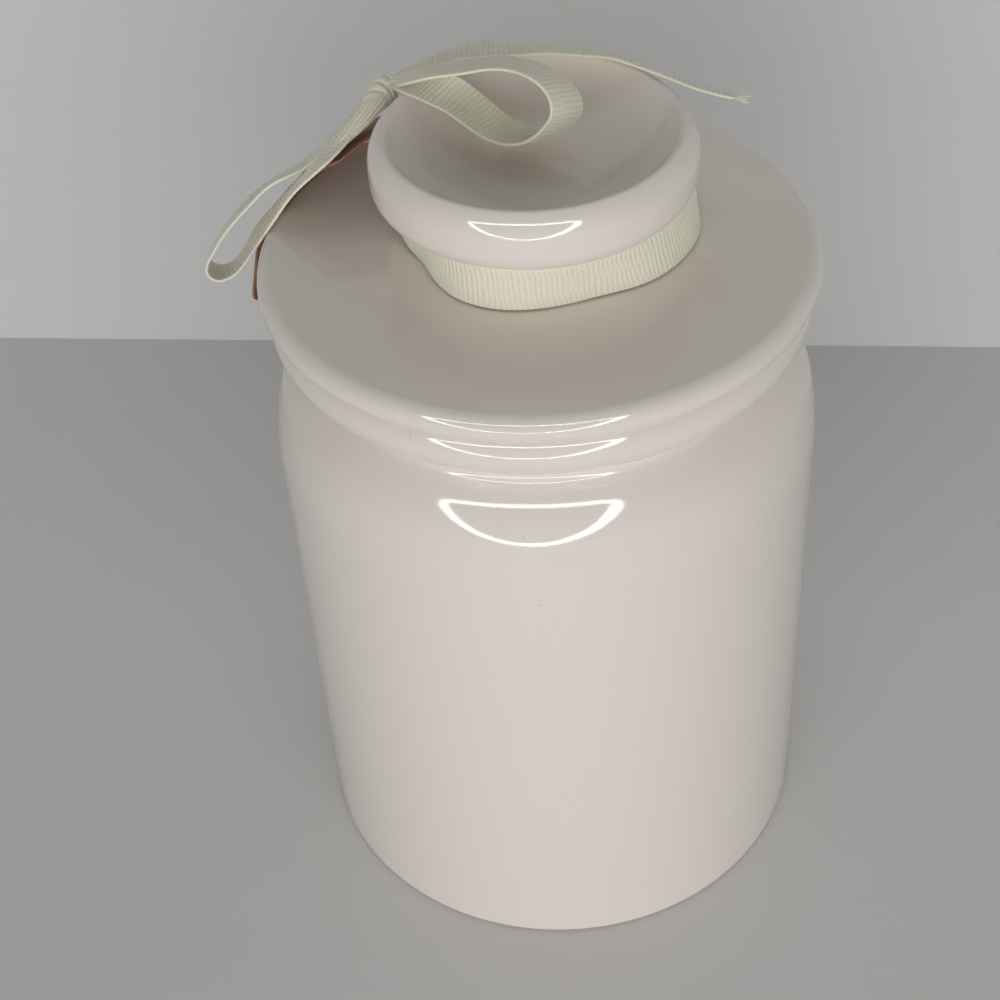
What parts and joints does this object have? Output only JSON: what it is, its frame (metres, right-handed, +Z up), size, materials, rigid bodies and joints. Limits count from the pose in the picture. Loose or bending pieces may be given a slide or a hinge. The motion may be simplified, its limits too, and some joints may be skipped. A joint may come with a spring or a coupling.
{
  "type": "garlic keeper",
  "caption": "Glazed stoneware kitchen jar with a lift-off lid, a dished knob, a ribbon bow round the knob's neck and a plain paper hang tag.",
  "frame": {"origin": "middle of the flat foot of the jar, on the surface it stands on", "axes": "+Z up along the jar's axis, -Y to the front, +X to the right"},
  "size_m": [0.1221, 0.11, 0.1813],
  "materials": {
    "glaze": "gloss",
    "grosgrain": "ribbed satin",
    "kraft": "matte"
  },
  "bodies": {
    "jar": {"jar_body": "glaze"},
    "lid": {"lid": "glaze"},
    "ribbon": {"ribbon_neck_band": "grosgrain", "ribbon_knot": "grosgrain", "ribbon_front_loop": "grosgrain", "ribbon_long_tail": "grosgrain", "ribbon_hanging_loop": "grosgrain", "ribbon_short_tail": "grosgrain"},
    "tag": {"hang_tag": "kraft"}
  },
  "joints": [
    {"name": "lid_lift", "type": "slide", "parent": "jar", "child": "lid", "axis": [0, 0, 1], "range_m": [0, 0.05]},
    {"name": "ribbon_turn", "type": "hinge", "parent": "lid", "child": "ribbon", "pos_m": [0, 0, 0.1537], "axis": [0, 0, 1], "continuous": true},
    {"name": "tag_turn", "type": "hinge", "parent": "ribbon", "child": "tag", "pos_m": [-0.02639, 0.02498, 0.16516], "axis": [-0.4535, 0.1215, 0.8829], "range_deg": [-20, 0]}
  ]
}
